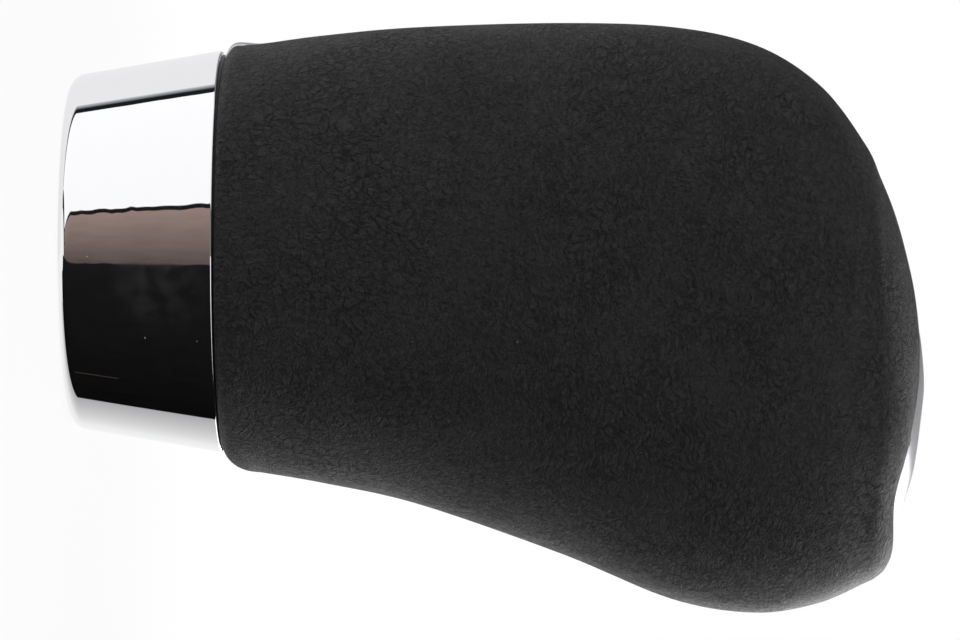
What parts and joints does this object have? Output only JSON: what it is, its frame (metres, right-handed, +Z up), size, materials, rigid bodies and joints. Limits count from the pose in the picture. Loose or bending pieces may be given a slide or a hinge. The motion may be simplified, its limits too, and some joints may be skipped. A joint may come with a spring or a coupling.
{
  "type": "gear selector knob",
  "caption": "Leather-wrapped selector knob with a bright spine strip, a chrome collar, a thumb button and a blind socket for the gear lever.",
  "frame": {"origin": "centre of the mouth of the lever socket, on the lever's axis, level with the collar's flat base", "axes": "+Z up along the lever's axis, +X towards the toe of the knob, +Y to the side with the thumb button"},
  "size_m": [0.0614, 0.048, 0.0893],
  "materials": {
    "leather": "grained, satin",
    "core_plastic": "moulded",
    "steel": "plain",
    "strip_metal": "satin",
    "chrome": "polished",
    "black_plastic": "satin",
    "button_plastic": "soft gloss",
    "light_plastic": "plain",
    "rubber": "matt"
  },
  "bodies": {
    "knob": {"leather_cover": "leather", "core_left": "core_plastic", "core_right": "core_plastic", "core_screws": "steel", "spine_strip": "strip_metal", "strip_push_nuts": "steel", "chrome_collar": "chrome", "collar_carrier": "black_plastic", "hem_ring": "black_plastic", "lever_socket": "steel", "retaining_ring": "steel", "lock_screws": "steel", "button_bezel": "black_plastic", "button_bumper": "rubber", "plunger_bush": "light_plastic", "return_spring": "steel", "spring_washer": "steel"},
    "button": {"button_cap": "button_plastic", "button_slider": "light_plastic", "button_pin": "steel"},
    "plunger": {"plunger": "light_plastic", "push_pin": "steel"}
  },
  "joints": [
    {"name": "button_press", "type": "slide", "parent": "knob", "child": "button", "axis": [0, -1, 0], "range_m": [0, 0.004], "stiffness_N_per_m": 900, "springref_m": -0.003},
    {"name": "plunger_drop", "type": "slide", "parent": "knob", "child": "plunger", "axis": [0, 0, -1], "range_m": [0, 0.004], "stiffness_N_per_m": 200, "springref_m": -0.003, "deforming": ["return_spring"]}
  ],
  "couplings": [
    {"joint": "plunger_drop", "follows": "button_press", "ratio": 1}
  ]
}
